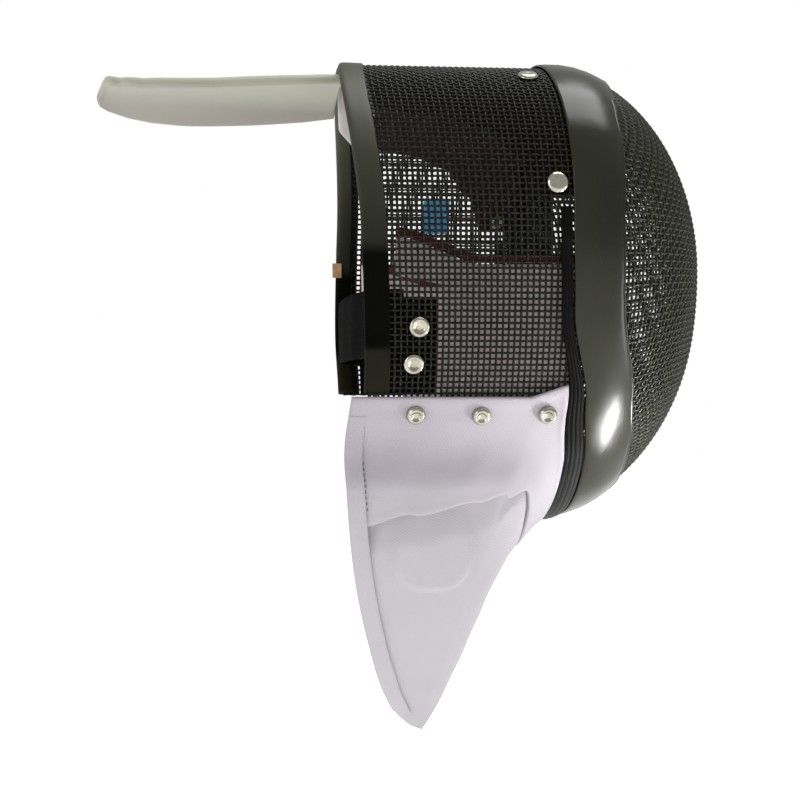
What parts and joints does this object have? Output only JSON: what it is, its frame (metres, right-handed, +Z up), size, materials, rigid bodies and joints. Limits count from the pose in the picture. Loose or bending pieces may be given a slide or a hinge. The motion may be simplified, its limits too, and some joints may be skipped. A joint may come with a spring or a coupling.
{
  "type": "fencing mask",
  "caption": "Fencing mask with a domed wire face, wire sides, seam band, crown pad, cheek liners, cloth bib, rear strap and spring tongue.",
  "frame": {"origin": "middle of the underside of the crown pad, where the wearer's crown touches it", "axes": "+Z up out of the crown, -Y the way the face looks, +X the wearer's left"},
  "size_m": [0.2152, 0.3513, 0.3913],
  "materials": {
    "black_wire": "satin black coating on steel wire",
    "seam_band": "glossy olive black",
    "seam_tape": "ribbed black tape",
    "edge_trim": "semi matte olive grey strip",
    "white_cloth": "heavy white weave",
    "grey_cloth": "pale grey cloth",
    "pale_lining": "pale cotton lining",
    "pad_cloth": "black and dark red padded cloth",
    "liner_cloth": "light pinkish grey cloth",
    "red_binding": "dark red binding",
    "black_elastic": "black elastic webbing",
    "blue_tag": "plain blue cloth",
    "tan_tab": "plain tan",
    "rivet_metal": "nickel with a warm tint"
  },
  "bodies": {
    "root": {"front_mesh": "black_wire", "side_mesh": "black_wire", "front_band": "seam_band", "seam_welt": "seam_tape", "rear_trim": "edge_trim", "bib_upper": "white_cloth", "bib_apron": "white_cloth", "bib_hem_right": "white_cloth", "bib_hem_left": "white_cloth", "crown_pad": "pad_cloth", "cheek_liner_right": "liner_cloth", "cheek_liner_left": "liner_cloth", "liner_binding_right": "red_binding", "liner_binding_left": "red_binding", "strap_patch_right": "black_elastic", "strap_patch_left": "black_elastic", "rear_strap": "black_elastic", "tongue_base": "pale_lining", "tongue": "grey_cloth", "side_tag": "blue_tag", "trim_tab": "tan_tab", "rivet_crown_right": "rivet_metal", "rivet_crown_left": "rivet_metal", "rivet_temple_right": "rivet_metal", "rivet_temple_left": "rivet_metal", "rivet_strap_upper_right": "rivet_metal", "rivet_strap_upper_left": "rivet_metal", "rivet_strap_lower_right": "rivet_metal", "rivet_strap_lower_left": "rivet_metal", "rivet_bib_rear_right": "rivet_metal", "rivet_bib_rear_left": "rivet_metal", "rivet_bib_middle_right": "rivet_metal", "rivet_bib_middle_left": "rivet_metal", "rivet_bib_front_right": "rivet_metal", "rivet_bib_front_left": "rivet_metal"}
  },
  "joints": []
}
